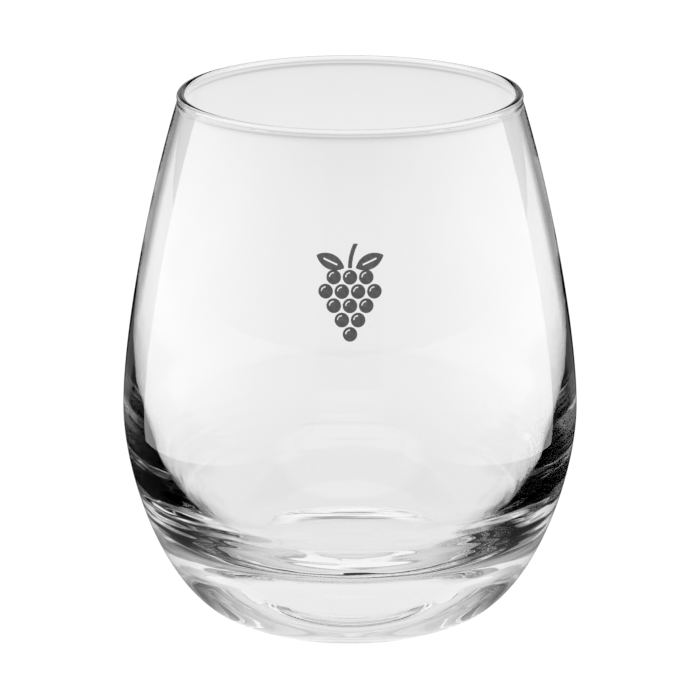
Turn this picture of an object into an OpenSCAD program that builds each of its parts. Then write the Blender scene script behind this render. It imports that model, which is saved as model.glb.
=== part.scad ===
// Stemless wine glass: one bowl of clear glass with a thick base and a beaded rim.
// Its front carries a small bunch of grapes, printed in fired ink as separate islands.
// Millimetres, +Z up, origin on the table under the middle of the foot, print towards -Y.

/* [Outside of the glass] */
// Height from the table to the top of the rim
glass_height = 98; // [92:0.5:106]
// Diameter at the belly, the widest place
belly_diameter = 83.8; // [78:0.2:90]
// Height of the belly above the table
belly_height = 38.8; // [36:0.1:43]
// Diameter over the bead at the rim
mouth_diameter = 62.6; // [58:0.2:68]
// Diameter of the flat foot that stands on the table
foot_diameter = 41.9; // [36:0.1:48]
// Share of the way out from foot to belly along which the curve is drawn level
heel_draw = 0.597; // [0.4:0.001:0.8]
// Share of the belly's height along which the curve is drawn upright under the belly
under_belly_draw = 0.351; // [0.2:0.001:0.5]
// Share of the height over the belly along which the curve is drawn upright above it
over_belly_draw = 0.196; // [0.1:0.001:0.4]
// Slope of the outer wall at the rim, as a multiple of the mean slope from belly to mouth
rim_slope = 1.686; // [1.2:0.001:2.2]
// Share of the height over the belly along which the curve is drawn down from the rim
rim_draw = 0.35; // [0.2:0.001:0.5]

/* [Wall, base and rim] */
// Thickness of the base at its middle
base_thickness = 6; // [4:0.1:10]
// Thickness of the wall at the belly
belly_wall = 2.2; // [1.6:0.1:3]
// Thickness of the wall under the bead
rim_wall = 1.05; // [0.9:0.05:1.4]
// Diameter of the round bead at the rim
bead_diameter = 1.5; // [1.4:0.05:2.2]
// How far the bead stands inside the inner wall
bead_inset = 0.1; // [0.05:0.05:0.3]
// Length of the neck in which the wall runs into the bead
neck_length = 1.5; // [0.8:0.1:3]
// Lean of the outer wall where it meets the bead, outwards from upright
neck_flare = 10; // [4:1:20]
// Rise of the widest place inside over the belly, as a share of the height over the belly
inner_belly_lift = 0.108; // [0.05:0.001:0.15]
// Share of the inner radius along which the floor is drawn level
floor_draw = 0.592; // [0.5:0.001:0.7]
// Share of the depth under the widest place inside along which the curve is drawn upright
inner_under_draw = 0.61; // [0.5:0.001:0.7]
// Share of the height over the belly along which the curve is drawn upright over that place
inner_over_draw = 0.2855; // [0.2:0.0005:0.35]
// Slope of the inner wall at the rim, as a multiple of the mean slope from belly to mouth
inner_rim_slope = 1.644; // [1.2:0.001:2.2]
// Share of the height over the belly along which the inner curve is drawn down from the rim
inner_rim_draw = 0.1015; // [0.05:0.0005:0.2]

/* [Print] */
// Height of the middle of the print above the table
print_height = 70.8; // [64:0.2:76]
// Thickness of the ink film
ink_film = 0.1; // [0.05:0.01:0.2]
// Bare glass left between neighbouring islands of ink
ink_gap = 0.3; // [0.2:0.05:0.6]
// Diameter of one berry
berry_diameter = 2.5; // [2:0.05:2.8]
// Width of the bare stroke that stands for the shine on a berry
shine_width = 0.25; // [0.15:0.05:0.4]
// Distance of that stroke from the edge of its berry
shine_inset = 0.4; // [0.3:0.05:0.55]
// Length of the stalk above the top row of berries
stalk_length = 4.4; // [3:0.1:6]
// Width of the stalk
stalk_width = 0.7; // [0.4:0.05:1]
// Radius of the stalk's bend
stalk_bend = 9; // [7:0.5:16]
// Length of a leaf from tip to tip
leaf_length = 5.2; // [4:0.1:6]
// Width of a leaf at its middle
leaf_width = 2.6; // [1.8:0.1:3.2]
// Tilt of a leaf above level
leaf_tilt = 24; // [15:1:40]
// Height of a leaf's inner tip above the top row of berries
leaf_lift = 0.3; // [0.2:0.1:1.2]
// Width of the bare stroke along the middle of a leaf
vein_width = 0.3; // [0.2:0.05:0.5]

/* [Hidden] */
// Straight steps along each curve of the glass, along its neck and round its bead
curve_steps = 28;
neck_steps = 8;
bead_steps = 20;
// Share of the neck's length that its curve keeps to the line of each end
neck_draw = 0.4;
$fn = 96;

// Number of berries in each row of the bunch, from the top
berry_rows = [3, 4, 3, 2, 1];

belly_r = belly_diameter / 2;
foot_r = foot_diameter / 2;
bead_r = bead_diameter / 2;
bead_centre = [mouth_diameter / 2 - bead_r, glass_height - bead_r];
over_belly = glass_height - belly_height;

// The mean slope from belly to mouth, inwards for each step up, and the leans of both walls at the rim
mean_slope = (belly_r - mouth_diameter / 2) / over_belly;
rim_lean = atan(rim_slope * mean_slope);
inner_rim_lean = atan(inner_rim_slope * mean_slope);

// Unit vectors in the half-plane of the outline: along a leaning wall, and out of it
function up_wall(lean) = [-sin(lean), cos(lean)];
function out_of_wall(lean) = [cos(lean), sin(lean)];

// One point of a cubic curve through p[0] and p[3], drawn towards p[1] and p[2]
function curve_point(p, t) =
    pow(1 - t, 3) * p[0] + 3 * pow(1 - t, 2) * t * p[1] + 3 * (1 - t) * t * t * p[2] + t * t * t * p[3];
function curve(p, steps) = [for (i = [0 : steps]) curve_point(p, i / steps)];
// An arc about a centre, from one angle to another
function arc(centre, r, from, to, steps) =
    [for (i = [0 : steps]) let (a = from + (to - from) * i / steps) centre + r * [cos(a), sin(a)]];
// A curve between two points that leaves one and reaches the other along given unit vectors
function neck(from, from_way, to, to_way) =
    let (draw = neck_draw * norm(to - from))
    curve([from, from + draw * from_way, to - draw * to_way, to], neck_steps);
// A list without its first point, to join it to the list before it
function after_first(list) = [for (i = [1 : len(list) - 1]) list[i]];

// The walls' own lines beside the bead, and where a neck leaves each of them for the bead
inner_line = bead_centre - (bead_r - bead_inset) * out_of_wall(inner_rim_lean);
outer_line = inner_line + rim_wall * out_of_wall(rim_lean);
neck_outside = outer_line - (neck_length + bead_r) * up_wall(rim_lean);
neck_inside = inner_line - (neck_length + bead_r) * up_wall(inner_rim_lean);
// Where those necks meet the bead
bead_outside = bead_centre + bead_r * out_of_wall(-neck_flare);
bead_inside = bead_centre - bead_r * out_of_wall(inner_rim_lean);

belly_point = [belly_r, belly_height];
foot_point = [foot_r, 0];
inner_belly_point = [belly_r - belly_wall, belly_height + inner_belly_lift * over_belly];
floor_point = [0, base_thickness];

outer_lower = curve([foot_point,
                     foot_point + [heel_draw * (belly_r - foot_r), 0],
                     belly_point - [0, under_belly_draw * belly_height],
                     belly_point], curve_steps);
outer_upper = curve([belly_point,
                     belly_point + [0, over_belly_draw * over_belly],
                     neck_outside - rim_draw * over_belly * up_wall(rim_lean),
                     neck_outside], curve_steps);
outer_neck = neck(neck_outside, up_wall(rim_lean), bead_outside, up_wall(-neck_flare));
bead = arc(bead_centre, bead_r, -neck_flare, 180 + inner_rim_lean, bead_steps);
inner_neck = neck(bead_inside, -up_wall(inner_rim_lean), neck_inside, -up_wall(inner_rim_lean));
inner_upper = curve([neck_inside,
                     neck_inside - inner_rim_draw * over_belly * up_wall(inner_rim_lean),
                     inner_belly_point + [0, inner_over_draw * over_belly],
                     inner_belly_point], curve_steps);
inner_lower = curve([inner_belly_point,
                     inner_belly_point - [0, inner_under_draw * (inner_belly_point[1] - base_thickness)],
                     floor_point + [floor_draw * inner_belly_point[0], 0],
                     floor_point], curve_steps);

// The underside is flat, from the axis to the foot
glass_outline = concat([[0, 0]], outer_lower, after_first(outer_upper), after_first(outer_neck),
                       after_first(bead), after_first(inner_neck), after_first(inner_upper),
                       after_first(inner_lower));

// The bunch in the flat: x to the right and y up, measured from the middle of the print
berry_pitch = berry_diameter + ink_gap;
row_pitch = berry_pitch * sin(60);
bunch_height = (len(berry_rows) - 1) * row_pitch + berry_diameter;
print_span = bunch_height + stalk_length;
bunch_top = print_span / 2 - stalk_length;
top_row_y = bunch_top - berry_diameter / 2;
berry_places = [for (row = [0 : len(berry_rows) - 1])
                for (i = [0 : berry_rows[row] - 1])
                [(i - (berry_rows[row] - 1) / 2) * berry_pitch, top_row_y - row * row_pitch]];

berry_names = [for (i = [0 : len(berry_places) - 1]) str("berry_", i + 1)];

glass_colour = [0.86, 0.9, 0.9, 0.35];
ink_colour = [0.38, 0.38, 0.38];

module glass_body() {
    color(glass_colour)
        rotate_extrude() polygon(glass_outline);
}

// The ink lies on the outer wall: its inner face is the glass's own and its outer face is one film out
module ink_layer() {
    margin = glass_height / curve_steps;
    low = print_height - print_span / 2 - margin;
    high = print_height + print_span / 2 + margin;
    wall = [for (p = concat(outer_lower, after_first(outer_upper))) if (p[1] > low && p[1] < high) p];
    film = [for (i = [len(wall) - 1 : -1 : 0]) wall[i] + [ink_film, 0]];
    rotate_extrude() polygon(concat(wall, film));
}

// Lays a flat shape of the print on the front of the glass
module printed() {
    color(ink_colour)
        intersection() {
            ink_layer();
            translate([0, 0, print_height])
                rotate([90, 0, 0])
                    linear_extrude(belly_diameter) children();
        }
}

// A berry is a disc with a short bare stroke for its shine, up and to the left
module berry(place) {
    r = berry_diameter / 2;
    shine_r = r - shine_inset;
    printed()
        translate(place)
            difference() {
                circle(r);
                intersection() {
                    difference() {
                        circle(shine_r);
                        circle(shine_r - shine_width);
                    }
                    translate([-berry_diameter, 0]) square(berry_diameter);
                }
            }
}

// The stalk stands on the bunch, one gap above its top row, and bends to the right
module stalk() {
    foot_y = bunch_top + ink_gap;
    printed()
        intersection() {
            translate([stalk_bend, foot_y])
                difference() {
                    circle(stalk_bend + stalk_width / 2);
                    circle(stalk_bend - stalk_width / 2);
                }
            translate([-stalk_width, foot_y]) square([stalk_bend, stalk_length - ink_gap]);
        }
}

// A leaf is the overlap of two discs, pointed at both ends, with a bare vein from near its inner tip
module leaf(side) {
    half = leaf_length / 2;
    bow = leaf_width / 2;
    disc_r = (half * half + bow * bow) / (2 * bow);
    start = stalk_width + ink_gap;
    printed()
        mirror([side < 0 ? 1 : 0, 0])
            translate([start, bunch_top + leaf_lift])
                rotate(leaf_tilt)
                    difference() {
                        translate([half, 0])
                            intersection() {
                                translate([0, bow - disc_r]) circle(disc_r);
                                translate([0, disc_r - bow]) circle(disc_r);
                            }
                        translate([half / 2, -vein_width / 2]) square([half, vein_width]);
                    }
}

module leaf_left() { leaf(-1); }
module leaf_right() { leaf(1); }

glass_body();
stalk();
leaf_left();
leaf_right();
for (i = [0 : len(berry_names) - 1])
    berry(berry_places[i]);
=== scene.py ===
# The looks of a stemless wine glass: a smooth clear bowl, its printed bunch of grapes and a light table.
import math

import bmesh
import bpy
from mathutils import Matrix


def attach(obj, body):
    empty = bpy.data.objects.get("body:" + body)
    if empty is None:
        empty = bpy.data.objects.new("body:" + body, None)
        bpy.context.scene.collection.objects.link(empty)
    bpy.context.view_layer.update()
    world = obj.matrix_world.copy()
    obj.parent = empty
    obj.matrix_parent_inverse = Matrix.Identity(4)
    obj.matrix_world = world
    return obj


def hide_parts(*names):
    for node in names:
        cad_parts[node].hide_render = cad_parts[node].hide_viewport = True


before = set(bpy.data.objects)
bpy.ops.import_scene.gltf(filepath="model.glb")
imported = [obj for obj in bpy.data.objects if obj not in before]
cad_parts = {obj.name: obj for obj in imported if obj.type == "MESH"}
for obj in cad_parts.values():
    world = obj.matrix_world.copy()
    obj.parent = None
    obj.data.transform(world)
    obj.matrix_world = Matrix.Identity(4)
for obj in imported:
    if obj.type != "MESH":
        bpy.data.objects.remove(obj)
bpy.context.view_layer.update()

bl_info = {
    "name": "Stemless wine glass",
    "version": (1, 0, 0),
    "blender": (4, 5, 0),
    "location": "3D View > Sidebar > Wine glass",
    "description": "Makes a stemless wine glass with printed grapes, and a light table to show it on",
    "category": "Object",
}

MM = 0.001


def linear(hex_colour):
    """An sRGB hex colour as the linear red, green and blue that a shader takes."""
    parts = [int(hex_colour[i:i + 2], 16) / 255 for i in (1, 3, 5)]
    return [p / 12.92 if p <= 0.04045 else ((p + 0.055) / 1.055) ** 2.4 for p in parts]


def length_property(name, description, millimetres):
    return bpy.props.FloatProperty(name=name, description=description, default=millimetres * MM,
                                   min=0, precision=5, unit="LENGTH", subtype="DISTANCE")


def angle_property(name, description, degrees):
    return bpy.props.FloatProperty(name=name, description=description, default=math.radians(degrees),
                                   unit="ROTATION", subtype="ANGLE")


def colour_property(name, description, hex_colour):
    return bpy.props.FloatVectorProperty(name=name, description=description, default=linear(hex_colour),
                                         size=3, min=0, max=1, subtype="COLOR")


class GlassSizes(bpy.types.PropertyGroup):
    """Sizes and finish of the bowl"""
    height: length_property("Height", "From the table to the top of the rim", 98)
    belly_diameter: length_property("Belly Diameter", "Diameter at the widest place", 83.8)
    belly_height: length_property("Belly Height", "Height of the widest place", 38.8)
    mouth_diameter: length_property("Mouth Diameter", "Diameter over the bead at the rim", 62.6)
    foot_diameter: length_property("Foot Diameter", "Diameter of the flat foot", 41.9)
    heel_reach: length_property("Heel Reach", "Reach of the curve that leaves the foot level", 12.51)
    under_belly_reach: length_property("Under Belly Reach", "Reach of the curve up to the belly", 13.62)
    over_belly_reach: length_property("Over Belly Reach", "Reach of the curve that leaves the belly", 11.6)
    rim_lean: angle_property("Rim Lean", "Lean of the outer wall at the rim", 16.8)
    rim_reach: length_property("Rim Reach", "Reach of the curve up to the rim", 20.72)
    base_thickness: length_property("Base Thickness", "Thickness of the base at its middle", 6)
    belly_wall: length_property("Belly Wall", "Thickness of the wall at the belly", 2.2)
    rim_wall: length_property("Rim Wall", "Thickness of the wall under the bead", 1.05)
    bead_diameter: length_property("Bead Diameter", "Diameter of the round bead at the rim", 1.5)
    bead_inset: length_property("Bead Inset", "How far the bead stands inside the inner wall", 0.1)
    neck_length: length_property("Neck Length", "Length in which the wall runs into the bead", 1.5)
    neck_flare: angle_property("Neck Flare", "Lean of the outer wall where it meets the bead, outwards", 10)
    inner_belly_lift: length_property("Inner Belly Lift", "Rise of the inner belly over the outer", 6.39)
    floor_reach: length_property("Floor Reach", "Reach of the curve across the floor of the bowl", 23.5)
    inner_under_reach: length_property("Inner Under Reach", "Reach of the inner curve up to its belly", 23.91)
    inner_over_reach: length_property("Inner Over Reach", "Reach of the inner curve over its belly", 16.9)
    inner_rim_lean: angle_property("Inner Rim Lean", "Lean of the inner wall at the rim", 16.4)
    inner_rim_reach: length_property("Inner Rim Reach", "Reach of the inner curve up to the rim", 6.01)
    colour: colour_property("Glass Colour", "Colour that the glass lets through", "#ffffff")


class PrintSizes(bpy.types.PropertyGroup):
    """Sizes and colour of the printed bunch of grapes"""
    height: length_property("Print Height", "Height of the middle of the print above the table", 70.8)
    film: length_property("Ink Film", "Thickness of the ink film", 0.1)
    bite: length_property("Ink Bite", "Depth to which the fired ink has sunk into the glass", 0.02)
    gap: length_property("Ink Gap", "Bare glass between neighbouring islands of ink", 0.3)
    berry_diameter: length_property("Berry Diameter", "Diameter of one berry", 2.5)
    shine_width: length_property("Shine Width", "Width of the bare stroke on a berry", 0.25)
    shine_inset: length_property("Shine Inset", "Distance of that stroke from the berry's edge", 0.4)
    stalk_length: length_property("Stalk Length", "Length of the stalk above the top row", 4.4)
    stalk_width: length_property("Stalk Width", "Width of the stalk", 0.7)
    stalk_bend: length_property("Stalk Bend", "Radius of the stalk's bend", 9)
    leaf_length: length_property("Leaf Length", "Length of a leaf from tip to tip", 5.2)
    leaf_width: length_property("Leaf Width", "Width of a leaf at its middle", 2.6)
    leaf_tilt: angle_property("Leaf Tilt", "Tilt of a leaf above level", 24)
    leaf_lift: length_property("Leaf Lift", "Height of a leaf's inner tip above the top row", 0.3)
    vein_width: length_property("Vein Width", "Width of the bare stroke along a leaf", 0.3)
    colour: colour_property("Ink Colour", "Colour of the fired ink", "#6a6a6a")


class StageSizes(bpy.types.PropertyGroup):
    """Where the camera stands and what it looks at"""
    camera_distance: length_property("Camera Distance", "From the camera to the point it looks at", 659.6)
    camera_elevation: angle_property("Camera Elevation", "Angle at which the camera looks down", 16.78)
    look_height: length_property("Look Height", "Height of the point in the middle of the picture", 49.15)
    lens: bpy.props.FloatProperty(name="Lens", description="Focal length on a 36 mm sensor", default=183.97,
                                  unit="CAMERA")


def add(tree, kind, inputs=None, **settings):
    """Adds a node, with its settings and with a link or a value for each input named."""
    node = tree.nodes.new(kind)
    for name, value in settings.items():
        setattr(node, name, value)
    for socket, value in (inputs or {}).items():
        several = isinstance(value, list) and isinstance(value[0], bpy.types.NodeSocket)
        for one in value if several else [value]:
            if isinstance(one, bpy.types.NodeSocket):
                tree.links.new(one, node.inputs[socket])
            else:
                node.inputs[socket].default_value = one
    return node


def new_material(name):
    material = bpy.data.materials.new(name)
    material.use_nodes = True
    material.node_tree.nodes.clear()
    return material


# Uneven rings, left by the mould where the floor of the bowl turns up into the wall
RING_PITCH = 4 * MM
RING_DEPTH = 0.16 * MM
# Radius of the circle on which the noise of the rings is read: a larger one makes shorter streaks
RING_CIRCLE = 7 * MM
# Heights between which the rings fade in above the floor, and out again below the belly
RINGS_FADE_IN = (9 * MM, 14 * MM)
RINGS_FADE_OUT = (32 * MM, 22 * MM)
# Height over radius of a cone that the outer wall lies under, low down, and the inner wall lies over
INSIDE_SLOPE = 0.45


def mould_waves(tree, place):
    """A bump of slow waves about 11 mm long, wider round the glass than up it."""
    turned = add(tree, "ShaderNodeMapping", {"Vector": place, "Scale": (1, 1, 1.7)})
    waves = add(tree, "ShaderNodeTexNoise", {"Vector": turned.outputs["Vector"], "Scale": 1 / (11 * MM),
                                             "Detail": 1.5, "Roughness": 0.4})
    bump = add(tree, "ShaderNodeBump", {"Height": waves.outputs["Fac"], "Strength": 1.0,
                                        "Distance": 0.02 * MM})
    return bump.outputs["Normal"]


def mould_rings(tree, place, normal):
    """A bump of uneven rings over another bump; low down, only the inner wall has them."""
    flat = add(tree, "ShaderNodeVectorMath", {0: place, 1: (1, 1, 0)}, operation="MULTIPLY").outputs[0]
    radius = add(tree, "ShaderNodeVectorMath", {0: flat}, operation="LENGTH").outputs["Value"]
    way = add(tree, "ShaderNodeVectorMath", {0: flat}, operation="NORMALIZE").outputs[0]
    height = add(tree, "ShaderNodeSeparateXYZ", {"Vector": place}).outputs["Z"]
    # Out and up together measure the way along the wall, and the circle gives the way round it with no seam
    along = add(tree, "ShaderNodeMath", {0: radius, 1: height}, operation="ADD")
    along = add(tree, "ShaderNodeCombineXYZ", {"Z": along.outputs[0]})
    wound = add(tree, "ShaderNodeVectorMath", {0: way, 1: (RING_CIRCLE, RING_CIRCLE, 0), 2: along.outputs[0]},
                operation="MULTIPLY_ADD")
    rings = add(tree, "ShaderNodeTexNoise", {"Vector": wound.outputs[0], "Scale": 1 / RING_PITCH,
                                             "Detail": 1.0, "Roughness": 0.5})
    over_cone = add(tree, "ShaderNodeMath", {0: radius, 1: -INSIDE_SLOPE, 2: height},
                    operation="MULTIPLY_ADD")
    share = add(tree, "ShaderNodeMapRange", {"Value": over_cone.outputs[0], "From Min": 0.0,
                                             "From Max": 1 * MM}).outputs[0]
    for low, high in (RINGS_FADE_IN, RINGS_FADE_OUT):
        fade = add(tree, "ShaderNodeMapRange", {"Value": height, "From Min": low, "From Max": high})
        share = add(tree, "ShaderNodeMath", {0: share, 1: fade.outputs[0]}, operation="MULTIPLY").outputs[0]
    bump = add(tree, "ShaderNodeBump", {"Height": rings.outputs["Fac"], "Strength": share,
                                        "Distance": RING_DEPTH, "Normal": normal})
    return bump.outputs["Normal"]


# Soda-lime glass, blown into a mould and fire polished: clear to the edge and mirror smooth, with
# faint slow waves, and rings that break what shines through the turn of the floor into streaks.
def fire_polished_glass(colour):
    material = new_material("soda_lime_glass_fire_polished")
    tree = material.node_tree
    place = add(tree, "ShaderNodeTexCoord").outputs["Object"]
    normal = mould_rings(tree, place, mould_waves(tree, place))
    glass = add(tree, "ShaderNodeBsdfPrincipled", {"Base Color": (*colour, 1), "Roughness": 0.0, "IOR": 1.52,
                                                   "Transmission Weight": 1.0, "Normal": normal})
    add(tree, "ShaderNodeOutputMaterial", {"Surface": glass.outputs["BSDF"]})
    return material


# Ceramic ink, screen printed and fired on: a dense satin grey film with a faint mottle from the
# mesh of the screen.
def fired_ink(colour):
    material = new_material("ceramic_ink_screen_printed")
    tree = material.node_tree
    place = add(tree, "ShaderNodeTexCoord")
    # Real screens have about 10 threads to the millimetre; the mottle is drawn at 0.5 mm so that it shows
    mottle = add(tree, "ShaderNodeTexNoise", {"Vector": place.outputs["Object"], "Scale": 1 / (0.5 * MM),
                                              "Detail": 3.0, "Roughness": 0.6})
    shade = add(tree, "ShaderNodeMapRange", {"Value": mottle.outputs["Fac"], "From Min": 0.3, "From Max": 0.7,
                                             "To Min": 0.88, "To Max": 1.12})
    tone = add(tree, "ShaderNodeVectorMath", {0: colour, "Scale": shade.outputs["Result"]}, operation="SCALE")
    gloss = add(tree, "ShaderNodeMapRange", {"Value": mottle.outputs["Fac"], "From Min": 0.3, "From Max": 0.7,
                                             "To Min": 0.42, "To Max": 0.58})
    bump = add(tree, "ShaderNodeBump", {"Height": mottle.outputs["Fac"], "Strength": 0.5,
                                        "Distance": 0.01 * MM})
    ink = add(tree, "ShaderNodeBsdfPrincipled", {"Base Color": tone.outputs["Vector"], "IOR": 1.5,
                                                 "Roughness": gloss.outputs["Result"],
                                                 "Normal": bump.outputs["Normal"]})
    add(tree, "ShaderNodeOutputMaterial", {"Surface": ink.outputs["BSDF"]})
    return material


def new_tree(name, sockets):
    """A geometry tree with a geometry output, and one input for each (name, kind) pair."""
    tree = bpy.data.node_groups.new(name, "GeometryNodeTree")
    tree.interface.new_socket("Geometry", in_out="OUTPUT", socket_type="NodeSocketGeometry")
    for socket_name, kind in sockets:
        tree.interface.new_socket(socket_name, in_out="INPUT", socket_type=kind)
    return tree


def grown(name, mesh, tree, values):
    """An object whose mesh the tree has made from these named inputs, with no modifier left on it."""
    obj = bpy.data.objects.new(name, mesh)
    bpy.context.scene.collection.objects.link(obj)
    modifier = obj.modifiers.new("Made by rule", "NODES")
    modifier.node_group = tree
    for item in tree.interface.items_tree:
        if item.in_out == "INPUT" and item.name in values:
            modifier[item.identifier] = values[item.name]
    bpy.context.view_layer.update()
    evaluated = obj.evaluated_get(bpy.context.evaluated_depsgraph_get())
    made = bpy.data.meshes.new_from_object(evaluated)
    made.name = name
    obj.modifiers.remove(modifier)
    obj.data = made
    bpy.data.meshes.remove(mesh)
    if not made.polygons:
        raise RuntimeError("The tree made no faces for " + name)
    return obj


GLASS_LENGTHS = ["Height", "Belly Radius", "Belly Height", "Mouth Radius", "Foot Radius", "Heel Reach",
                 "Under Belly Reach", "Over Belly Reach", "Rim Reach", "Base Thickness", "Belly Wall",
                 "Rim Wall", "Bead Radius", "Bead Inset", "Neck Length", "Inner Belly Lift", "Floor Reach",
                 "Inner Under Reach", "Inner Over Reach", "Inner Rim Reach"]
GLASS_ANGLES = ["Rim Lean", "Neck Flare", "Inner Rim Lean"]
# Share of the neck's length that its curve keeps to the line of each end
NECK_DRAW = 0.4
# Radius of the circle that carries the outline round, and the number of steps round the glass
SWEEP_RADIUS = 10 * MM
STEPS_ROUND = 256
# Points closer than this become one
WELD = 0.002 * MM


def turned_glass_tree(material):
    """The outline of the glass, drawn from its sizes as curves and carried round its axis.

    In the outline x is the radius and y the height.
    """
    tree = new_tree("Turned_glass", [(n, "NodeSocketFloat") for n in GLASS_LENGTHS + GLASS_ANGLES])
    size = add(tree, "NodeGroupInput").outputs
    axis = (0, 0, 0)

    def reached(start, out, up, lean=0.0, back=False):
        """The point so far out and up from another, along a leaning wall, or as far back from it."""
        way = add(tree, "ShaderNodeCombineXYZ", {"X": out, "Y": up})
        way = add(tree, "ShaderNodeVectorRotate", {"Vector": way.outputs[0], "Angle": lean},
                  rotation_type="Z_AXIS")
        point = add(tree, "ShaderNodeVectorMath", {0: start, 1: way.outputs[0]},
                    operation="SUBTRACT" if back else "ADD")
        return point.outputs[0]

    foot = reached(axis, size["Foot Radius"], 0.0)
    heel = reached(foot, size["Heel Reach"], 0.0)
    belly = reached(axis, size["Belly Radius"], size["Belly Height"])
    under = reached(belly, 0.0, size["Under Belly Reach"], back=True)
    over = reached(belly, 0.0, size["Over Belly Reach"])

    # The bead is a round that stands a little proud of both walls
    bead_x = add(tree, "ShaderNodeMath", {0: size["Mouth Radius"], 1: size["Bead Radius"]},
                 operation="SUBTRACT")
    bead_y = add(tree, "ShaderNodeMath", {0: size["Height"], 1: size["Bead Radius"]}, operation="SUBTRACT")
    bead = reached(axis, bead_x.outputs[0], bead_y.outputs[0])
    outer_lean = size["Rim Lean"]
    inner_lean = size["Inner Rim Lean"]
    flare = add(tree, "ShaderNodeMath", {0: size["Neck Flare"], 1: -1.0}, operation="MULTIPLY").outputs[0]
    depth = add(tree, "ShaderNodeMath", {0: size["Bead Radius"], 1: size["Bead Inset"]},
                operation="SUBTRACT")
    inner_line = reached(bead, depth.outputs[0], 0.0, inner_lean, back=True)
    outer_line = reached(inner_line, size["Rim Wall"], 0.0, outer_lean)
    bead_outside = reached(bead, size["Bead Radius"], 0.0, flare)
    bead_top = reached(bead, 0.0, size["Bead Radius"])
    bead_inside = reached(bead, size["Bead Radius"], 0.0, inner_lean, back=True)

    # A neck carries each wall into the bead
    drop = add(tree, "ShaderNodeMath", {0: size["Neck Length"], 1: size["Bead Radius"]},
               operation="ADD").outputs[0]
    neck_outside = reached(outer_line, 0.0, drop, outer_lean, back=True)
    neck_inside = reached(inner_line, 0.0, drop, inner_lean, back=True)
    draws = []
    for ends in ((neck_outside, bead_outside), (bead_inside, neck_inside)):
        run = add(tree, "ShaderNodeVectorMath", {0: ends[0], 1: ends[1]}, operation="DISTANCE")
        draw = add(tree, "ShaderNodeMath", {0: run.outputs["Value"], 1: NECK_DRAW}, operation="MULTIPLY")
        draws.append(draw.outputs[0])
    outer_handles = (reached(neck_outside, 0.0, draws[0], outer_lean),
                     reached(bead_outside, 0.0, draws[0], flare, back=True))
    inner_handles = (reached(bead_inside, 0.0, draws[1], inner_lean, back=True),
                     reached(neck_inside, 0.0, draws[1], inner_lean))
    rim = reached(neck_outside, 0.0, size["Rim Reach"], outer_lean, back=True)
    inner_rim = reached(neck_inside, 0.0, size["Inner Rim Reach"], inner_lean, back=True)

    # The inside: its widest place lies a little above the belly, and its floor is level at the axis
    wall_foot = reached(belly, size["Belly Wall"], 0.0, back=True)
    inner_belly = reached(wall_foot, 0.0, size["Inner Belly Lift"])
    inner_over = reached(inner_belly, 0.0, size["Inner Over Reach"])
    inner_under = reached(inner_belly, 0.0, size["Inner Under Reach"], back=True)
    floor = reached(axis, 0.0, size["Base Thickness"])
    floor_end = reached(floor, size["Floor Reach"], 0.0)

    # The spans of the outline, each with its number of steps
    base = add(tree, "GeometryNodeCurvePrimitiveLine", {"Start": axis, "End": foot})
    base = add(tree, "GeometryNodeResampleCurve", {"Curve": base.outputs[0], "Count": 16})
    spans = [base.outputs[0]]
    for start, handles, end, steps in ((foot, (heel, under), belly, 60),
                                       (belly, (over, rim), neck_outside, 48),
                                       (neck_outside, outer_handles, bead_outside, 12),
                                       (bead_inside, inner_handles, neck_inside, 8),
                                       (neck_inside, (inner_rim, inner_over), inner_belly, 48),
                                       (inner_belly, (inner_under, floor_end), floor, 60)):
        span = add(tree, "GeometryNodeCurvePrimitiveBezierSegment",
                   {"Resolution": steps, "Start": start, "Start Handle": handles[0], "End Handle": handles[1],
                    "End": end}, mode="POSITION")
        spans.append(span.outputs[0])
    round_bead = add(tree, "GeometryNodeCurveArc",
                     {"Resolution": 40, "Start": bead_outside, "Middle": bead_top, "End": bead_inside},
                     mode="POINTS")
    spans.append(round_bead.outputs[0])
    outline = add(tree, "GeometryNodeJoinGeometry", {"Geometry": spans})

    # The outline is swept along a circle as far inwards as the circle's own radius
    way = add(tree, "GeometryNodeCurvePrimitiveCircle", {"Resolution": STEPS_ROUND, "Radius": SWEEP_RADIUS},
              mode="RADIUS")
    way = add(tree, "GeometryNodeSetCurveNormal", {"Curve": way.outputs[0]}, mode="Z_UP")
    outline = add(tree, "GeometryNodeTransform", {"Geometry": outline.outputs[0], "Scale": (1, -1, 1),
                                                  "Translation": (-SWEEP_RADIUS, 0, 0)})
    swept = add(tree, "GeometryNodeCurveToMesh", {"Curve": way.outputs[0],
                                                  "Profile Curve": outline.outputs[0]})
    swept = add(tree, "GeometryNodeFlipFaces", {"Mesh": swept.outputs[0]})
    welded = add(tree, "GeometryNodeMergeByDistance", {"Geometry": swept.outputs[0], "Distance": WELD})
    smooth = add(tree, "GeometryNodeSetShadeSmooth", {"Geometry": welded.outputs[0], "Shade Smooth": True},
                 domain="FACE")
    real = add(tree, "GeometryNodeRealizeInstances", {"Geometry": smooth.outputs[0]})
    dressed = add(tree, "GeometryNodeSetMaterial", {"Geometry": real.outputs[0], "Material": material})
    add(tree, "NodeGroupOutput", {"Geometry": dressed.outputs[0]})
    return tree


# Where the flat islands lie before they are laid on the glass: in front of it
PRINT_START = -60 * MM
# Edges of the ink that turn by more than this stay sharp
SHARP_EDGE = math.radians(40)


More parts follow.
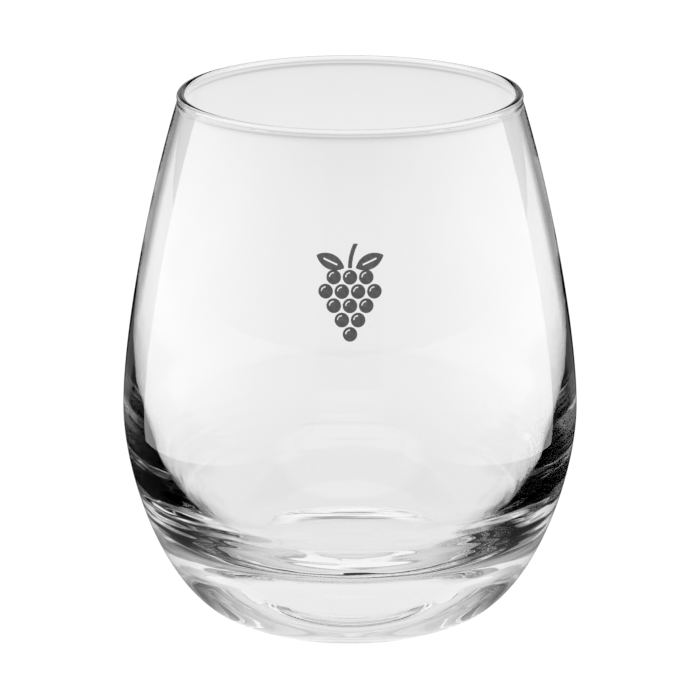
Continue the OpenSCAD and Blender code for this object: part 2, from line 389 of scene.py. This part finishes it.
def ink_film_tree(material):
    """Lays a flat island of ink on the front of the glass and gives it the thickness of its film."""
    tree = new_tree("Ink_on_glass", [("Geometry", "NodeSocketGeometry"), ("Glass", "NodeSocketObject"),
                                     ("Film", "NodeSocketFloat"), ("Bite", "NodeSocketFloat")])
    size = add(tree, "NodeGroupInput").outputs
    glass = add(tree, "GeometryNodeObjectInfo", {"Object": size["Glass"]})
    fine = add(tree, "GeometryNodeSubdivideMesh", {"Mesh": size["Geometry"], "Level": 2})
    hit = add(tree, "GeometryNodeRaycast", {"Target Geometry": glass.outputs["Geometry"],
                                            "Ray Direction": (0, 1, 0), "Ray Length": 1.0})
    sunk = add(tree, "ShaderNodeMath", {0: size["Bite"], 1: -1.0}, operation="MULTIPLY")
    inwards = add(tree, "ShaderNodeVectorMath", {0: hit.outputs["Hit Normal"], "Scale": sunk.outputs[0]},
                  operation="SCALE")
    laid = add(tree, "GeometryNodeSetPosition", {"Geometry": fine.outputs[0],
                                                 "Position": hit.outputs["Hit Position"]})
    laid = add(tree, "GeometryNodeSetPosition", {"Geometry": laid.outputs[0], "Offset": inwards.outputs[0]})
    back = add(tree, "GeometryNodeFlipFaces", {"Mesh": laid.outputs[0]})
    depth = add(tree, "ShaderNodeMath", {0: size["Film"], 1: size["Bite"]}, operation="ADD")
    front = add(tree, "GeometryNodeExtrudeMesh", {"Mesh": laid.outputs[0], "Offset Scale": depth.outputs[0],
                                                  "Individual": False}, mode="FACES")
    both = add(tree, "GeometryNodeJoinGeometry", {"Geometry": [front.outputs[0], back.outputs[0]]})
    welded = add(tree, "GeometryNodeMergeByDistance", {"Geometry": both.outputs[0], "Distance": WELD})
    angle = add(tree, "GeometryNodeInputMeshEdgeAngle")
    crease = add(tree, "ShaderNodeMath", {0: angle.outputs["Unsigned Angle"], 1: SHARP_EDGE},
                 operation="GREATER_THAN")
    rounded = add(tree, "GeometryNodeSetShadeSmooth", {"Geometry": welded.outputs[0], "Shade Smooth": True},
                  domain="FACE")
    smooth = add(tree, "GeometryNodeSetShadeSmooth",
                 {"Geometry": rounded.outputs[0], "Selection": crease.outputs[0], "Shade Smooth": False},
                 domain="EDGE")
    real = add(tree, "GeometryNodeRealizeInstances", {"Geometry": smooth.outputs[0]})
    dressed = add(tree, "GeometryNodeSetMaterial", {"Geometry": real.outputs[0], "Material": material})
    add(tree, "NodeGroupOutput", {"Geometry": dressed.outputs[0]})
    return tree


def arc_points(centre, radius, start, end, steps):
    """Points along an arc, from one angle to another, with both its ends."""
    return [(centre[0] + radius * math.cos(start + (end - start) * i / steps),
             centre[1] + radius * math.sin(start + (end - start) * i / steps)) for i in range(steps + 1)]


def flat_island(loops, height):
    """A flat mesh in front of the glass that fills its first loop and leaves the others bare."""
    mesh = bpy.data.meshes.new("flat_island")
    bm = bmesh.new()
    for loop in loops:
        corners = [bm.verts.new((x, PRINT_START, height + y)) for x, y in loop]
        for a, b in zip(corners, corners[1:] + corners[:1]):
            bm.edges.new((a, b))
    bmesh.ops.triangle_fill(bm, edges=bm.edges[:], use_beauty=True, normal=(0, -1, 0))
    bm.normal_update()
    wrong = [f for f in bm.faces if f.normal.y > 0]
    bmesh.ops.reverse_faces(bm, faces=wrong)
    bm.to_mesh(mesh)
    bm.free()
    return mesh


def print_layout(sizes):
    """Where the parts of the bunch lie, measured from the middle of the print."""
    rows = [3, 4, 3, 2, 1]  # berries in each row, from the top
    pitch = sizes.berry_diameter + sizes.gap
    step = pitch * math.sin(math.radians(60))
    span = (len(rows) - 1) * step + sizes.berry_diameter + sizes.stalk_length
    top = span / 2 - sizes.stalk_length
    first = top - sizes.berry_diameter / 2
    berries = [((i - (count - 1) / 2) * pitch, first - row * step)
               for row, count in enumerate(rows) for i in range(count)]
    return top, berries


def print_island(name, loops, node, sizes):
    """One island of ink on the glass, in place of the CAD node of that name."""
    tree = bpy.data.node_groups.get("Ink_on_glass")
    if tree is None:
        tree = ink_film_tree(fired_ink(tuple(sizes.colour)))
    obj = grown(name, flat_island(loops, sizes.height), tree,
                {"Glass": bpy.data.objects["bowl"], "Film": sizes.film, "Bite": sizes.bite})
    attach(obj, "root")
    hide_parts(node)
    return obj


class GLASS_OT_bowl(bpy.types.Operator):
    """Make the bowl of the glass from its outline"""
    bl_idname = "wineglass.bowl"
    bl_label = "Make bowl"

    def execute(self, context):
        sizes = context.scene.wineglass_bowl
        values = {n: getattr(sizes, n.lower().replace(" ", "_")) for n in GLASS_LENGTHS + GLASS_ANGLES
                  if "Radius" not in n}
        for name in ("Belly", "Mouth", "Foot", "Bead"):
            values[name + " Radius"] = getattr(sizes, name.lower() + "_diameter") / 2
        tree = turned_glass_tree(fire_polished_glass(tuple(sizes.colour)))
        bowl = grown("bowl", bpy.data.meshes.new("bowl_seed"), tree, values)
        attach(bowl, "root")
        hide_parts("glass_body")
        return {"FINISHED"}


class GLASS_OT_berries(bpy.types.Operator):
    """Print the berries of the bunch on the bowl"""
    bl_idname = "wineglass.berries"
    bl_label = "Print berries"

    def execute(self, context):
        sizes = context.scene.wineglass_print
        _, places = print_layout(sizes)
        radius = sizes.berry_diameter / 2
        outer = radius - sizes.shine_inset
        inner = outer - sizes.shine_width
        for number, place in enumerate(places, 1):
            edge = arc_points(place, radius, 0, 2 * math.pi, steps=48)[:-1]
            shine = arc_points(place, outer, math.pi / 2, math.pi, steps=12)
            shine += arc_points(place, inner, math.pi, math.pi / 2, steps=12)
            print_island("ink_berry_%d" % number, [edge, shine], "berry_%d" % number, sizes)
        return {"FINISHED"}


class GLASS_OT_stalk(bpy.types.Operator):
    """Print the stalk of the bunch on the bowl"""
    bl_idname = "wineglass.stalk"
    bl_label = "Print stalk"

    def execute(self, context):
        sizes = context.scene.wineglass_print
        top, _ = print_layout(sizes)
        foot = top + sizes.gap
        rise = sizes.stalk_length - sizes.gap
        centre = (sizes.stalk_bend, foot)
        near = sizes.stalk_bend - sizes.stalk_width / 2
        far = sizes.stalk_bend + sizes.stalk_width / 2
        outline = arc_points(centre, far, math.pi, math.pi - math.asin(rise / far), steps=16)
        outline += arc_points(centre, near, math.pi - math.asin(rise / near), math.pi, steps=16)
        print_island("ink_stalk", [outline], "stalk", sizes)
        return {"FINISHED"}


class GLASS_OT_leaves(bpy.types.Operator):
    """Print the two leaves of the bunch on the bowl"""
    bl_idname = "wineglass.leaves"
    bl_label = "Print leaves"

    def execute(self, context):
        sizes = context.scene.wineglass_print
        top, _ = print_layout(sizes)
        half = sizes.leaf_length / 2
        bow = sizes.leaf_width / 2
        # Each long edge of a leaf is an arc of this radius
        bend = (half * half + bow * bow) / (2 * bow)
        spread = math.asin(half / bend)
        up = math.pi / 2
        outline = arc_points((half, bow - bend), bend, up + spread, up - spread, steps=32)[:-1]
        outline += arc_points((half, bend - bow), bend, -up + spread, -up - spread, steps=32)[:-1]
        slot = sizes.vein_width / 2
        vein = [(half / 2, -slot), (half / 2 + half, -slot), (half / 2 + half, slot), (half / 2, slot)]
        start = (sizes.stalk_width + sizes.gap, top + sizes.leaf_lift)
        turn = sizes.leaf_tilt
        for side, name in ((-1, "left"), (1, "right")):
            loops = [[(side * (start[0] + x * math.cos(turn) - y * math.sin(turn)),
                       start[1] + x * math.sin(turn) + y * math.cos(turn)) for x, y in loop]
                     for loop in (outline, vein)]
            print_island("ink_leaf_" + name, loops, "leaf_" + name, sizes)
        return {"FINISHED"}


# Radii, in metres, of the room that the camera sees, the studio that shines through the glass and
# the one that it mirrors
ROOM_RADIUS = 8.0
STUDIO_RADIUS = 3.0
MIRROR_RADIUS = 2.0
# How far the tables lie under the foot
TABLE_DROP = 0.05 * MM
ROOM_DROP = 0.06 * MM
# The way from the table to the light overhead, which leans a little towards the camera
TO_TOP_LIGHT = (0, -0.155, 0.988)
# The upright panels that the sides of the glass mirror, in metres: how far off they stand, where they
# start and end from front to back, and how high they are
PANEL_OFF = 0.125
PANEL_FRONT = -0.45
PANEL_REARS = {"left": 0.045, "right": 0.037}
PANEL_HEIGHT = 0.25


def glow(name, base, terms=()):
    """A light with a base radiance, and further strengths that fade in along ramps.

    A term is (strength, ramps) and a ramp is (measure, from, to). The measures y and radius are in
    metres from the middle of the table. The others say how far the direction seen from there points
    to either side, to the back (to_y), up (to_z) or to the light overhead (to_top).
    """
    material = new_material(name)
    tree = material.node_tree
    place = add(tree, "ShaderNodeTexCoord").outputs["Object"]
    way = add(tree, "ShaderNodeVectorMath", {0: place}, operation="NORMALIZE").outputs["Vector"]
    metres = add(tree, "ShaderNodeSeparateXYZ", {0: place}).outputs
    parts = add(tree, "ShaderNodeSeparateXYZ", {0: way}).outputs
    measures = {"y": metres[1], "to_y": parts[1], "to_z": parts[2],
                "to_side": add(tree, "ShaderNodeMath", {0: parts[0]}, operation="ABSOLUTE").outputs[0],
                "radius": add(tree, "ShaderNodeVectorMath", {0: place}, operation="LENGTH").outputs["Value"],
                "to_top": add(tree, "ShaderNodeVectorMath", {0: way, 1: TO_TOP_LIGHT},
                              operation="DOT_PRODUCT").outputs["Value"]}
    total = base
    for strength, ramps in terms:
        part = strength
        for measure, start, end in ramps:
            ramp = add(tree, "ShaderNodeMapRange",
                       {"Value": measures[measure], "From Min": start, "From Max": end},
                       interpolation_type="SMOOTHSTEP").outputs["Result"]
            part = add(tree, "ShaderNodeMath", {0: ramp, 1: part}, operation="MULTIPLY").outputs[0]
        total = add(tree, "ShaderNodeMath", {0: part, 1: total}, operation="ADD").outputs[0]
    light = add(tree, "ShaderNodeEmission", {"Strength": total})
    add(tree, "ShaderNodeOutputMaterial", {"Surface": light.outputs[0]})
    return material


def stage_piece(name, corners, faces, material, seen_by):
    """A floor, panel or dome of the studio, seen only by the kinds of ray that are named."""
    mesh = bpy.data.meshes.new(name)
    mesh.from_pydata(corners, [], faces)
    mesh.materials.append(material)
    obj = bpy.data.objects.new(name, mesh)
    bpy.context.scene.collection.objects.link(obj)
    for ray in ("camera", "diffuse", "glossy", "transmission", "shadow", "volume_scatter"):
        setattr(obj, "visible_" + ray, ray in seen_by)
    return obj


def disc(radius, height, steps=96):
    """Corners and faces of a flat round floor about the axis of the glass."""
    corners = [(0, 0, height)] + [(radius * math.cos(2 * math.pi * i / steps),
                                   radius * math.sin(2 * math.pi * i / steps), height) for i in range(steps)]
    return corners, [(0, i + 1, (i + 1) % steps + 1) for i in range(steps)]


def dome(radius, rows=24, steps=64):
    """Corners and faces of a half sphere over the table."""
    corners = []
    for j in range(rows):
        rise = math.pi / 2 * j / rows
        for i in range(steps):
            turn = 2 * math.pi * i / steps
            corners.append((radius * math.cos(rise) * math.cos(turn),
                            radius * math.cos(rise) * math.sin(turn), radius * math.sin(rise)))
    corners.append((0, 0, radius))
    faces = [(j * steps + i, j * steps + (i + 1) % steps, (j + 1) * steps + (i + 1) % steps,
              (j + 1) * steps + i) for j in range(rows - 1) for i in range(steps)]
    last = (rows - 1) * steps
    faces += [(last + i, last + (i + 1) % steps, rows * steps) for i in range(steps)]
    return corners, faces


class GLASS_OT_stage(bpy.types.Operator):
    """Set the white table, the lights that the glass shows and mirrors, and the camera"""
    bl_idname = "wineglass.stage"
    bl_label = "Set stage"

    def execute(self, context):
        scene = context.scene
        sizes = scene.wineglass_stage
        world = bpy.data.worlds.new("dark_studio")
        world.use_nodes = True
        world.node_tree.nodes["Background"].inputs["Color"].default_value = (0, 0, 0, 1)
        scene.world = world
        scene.view_settings.view_transform = "Standard"
        scene.cycles.max_bounces = 32
        scene.cycles.glossy_bounces = 24
        scene.cycles.transmission_bounces = 24
        scene.cycles.use_denoising = True

        # The white table and the white room round it, as the camera sees them
        white = glow("white_sweep", 1.02)
        stage_piece("white_floor", *disc(ROOM_RADIUS, -ROOM_DROP), white, {"camera"})
        stage_piece("white_room", *dome(ROOM_RADIUS), white, {"camera"})

        # The table that shines through the glass, with painted shade: darker under the foot as if the glass
        # shaded it there, and darker far off and in a patch behind the glass on each side
        lit = glow("lit_table", 0.828, [
            # Painted shade: the table glows less under the foot, where the glass stands on it
            (0.085, [("radius", 0.0, 0.14)]),
            (-0.114, [("radius", 0.25, 0.5)]),
            (-0.228, [("radius", 0.45, 1.1)]),
            (-0.36, [("to_side", 0.28, 0.42), ("to_side", 0.68, 0.52), ("to_y", 0.0, 0.3),
                     ("radius", 0.12, 0.36)])])
        stage_piece("lit_table", *disc(STUDIO_RADIUS - MM, -TABLE_DROP), lit, {"transmission", "diffuse"})
        # The studio over it: bright behind the glass, overhead, and low down at both sides
        sky = glow("studio", 0.0, [
            (0.975, [("to_y", -0.171, 1.477), ("to_z", 1.055, 0.805)]),
            (0.95, [("to_top", 0.79, 0.87)]),
            (0.624, [("to_side", 0.8, 1.1), ("to_z", 0.62, 0.02)])])
        stage_piece("studio_dome", *dome(STUDIO_RADIUS), sky, {"transmission", "diffuse"})

        # What the glass mirrors: a panel at each side that is brighter towards its rear edge
        for side, name in ((-1, "left"), (1, "right")):
            fade = glow("panel_" + name, 0.24, [(0.35, [("y", -0.35, -0.12)]), (1.35, [("y", -0.2, 0.02)])])
            x = side * PANEL_OFF
            rear = PANEL_REARS[name]
            corners = [(x, PANEL_FRONT, 0.0), (x, rear, 0.0), (x, rear, PANEL_HEIGHT),
                       (x, PANEL_FRONT, PANEL_HEIGHT)]
            stage_piece("side_panel_" + name, corners, [(0, 1, 2, 3)], fade, {"glossy", "diffuse"})
        # The table in the mirror: lit in front and close to the foot, faintly in a patch behind the
        # glass on each side, and brightly far off at both sides
        near = glow("near_table", 0.0, [
            (0.428, [("to_y", -0.2, -0.6)]),
            (0.312, [("radius", 0.075, 0.04)]),
            (0.4, [("to_y", -0.2, -0.6), ("radius", 0.075, 0.04)]),
            (0.17, [("to_side", 0.42, 0.52), ("to_side", 0.74, 0.66), ("to_y", 0.0, 0.3),
                    ("radius", 0.12, 0.16), ("radius", 0.36, 0.26)]),
            (1.0, [("to_side", 0.62, 0.72), ("to_y", -0.2, 0.0), ("radius", 0.2, 0.4)])])
        stage_piece("near_table", *disc(MIRROR_RADIUS, -TABLE_DROP), near, {"glossy"})
        # The wall behind and the light overhead in the mirror
        wall = glow("rear_wall", 0.0, [
            (0.49, [("to_y", 0.8, 0.95), ("to_z", 0.4, 0.2)]),
            (0.8, [("to_top", 0.68, 0.9)])])
        stage_piece("rear_wall", *dome(MIRROR_RADIUS), wall, {"glossy"})

        camera = bpy.data.objects.new("camera", bpy.data.cameras.new("camera"))
        scene.collection.objects.link(camera)
        camera.data.lens = sizes.lens
        camera.data.sensor_width = 36
        camera.data.clip_start = 0.01
        camera.data.clip_end = 50
        rise = sizes.camera_elevation
        camera.location = (0, -sizes.camera_distance * math.cos(rise),
                           sizes.look_height + sizes.camera_distance * math.sin(rise))
        camera.rotation_euler = (math.pi / 2 - rise, 0, 0)
        scene.camera = camera
        return {"FINISHED"}


class GLASS_PT_panel(bpy.types.Panel):
    """Lists the steps that make the glass"""
    bl_idname = "GLASS_PT_panel"
    bl_label = "Stemless wine glass"
    bl_space_type = "VIEW_3D"
    bl_region_type = "UI"
    bl_category = "Wine glass"

    def draw(self, context):
        for operator in OPERATORS:
            self.layout.operator(operator.bl_idname)
        for group in ("wineglass_bowl", "wineglass_print", "wineglass_stage"):
            box = self.layout.box()
            sizes = getattr(context.scene, group)
            for name in sizes.bl_rna.properties.keys():
                if name not in ("rna_type", "name"):
                    box.prop(sizes, name)


OPERATORS = [GLASS_OT_bowl, GLASS_OT_berries, GLASS_OT_stalk, GLASS_OT_leaves, GLASS_OT_stage]
CLASSES = [GlassSizes, PrintSizes, StageSizes, *OPERATORS, GLASS_PT_panel]


def register():
    for one in CLASSES:
        bpy.utils.register_class(one)
    bpy.types.Scene.wineglass_bowl = bpy.props.PointerProperty(type=GlassSizes)
    bpy.types.Scene.wineglass_print = bpy.props.PointerProperty(type=PrintSizes)
    bpy.types.Scene.wineglass_stage = bpy.props.PointerProperty(type=StageSizes)


def unregister():
    del bpy.types.Scene.wineglass_stage
    del bpy.types.Scene.wineglass_print
    del bpy.types.Scene.wineglass_bowl
    for one in reversed(CLASSES):
        bpy.utils.unregister_class(one)


def main():
    register()
    bpy.ops.wineglass.bowl()
    bpy.ops.wineglass.berries()
    bpy.ops.wineglass.stalk()
    bpy.ops.wineglass.leaves()
    bpy.ops.wineglass.stage()


if __name__ == "__main__":
    main()
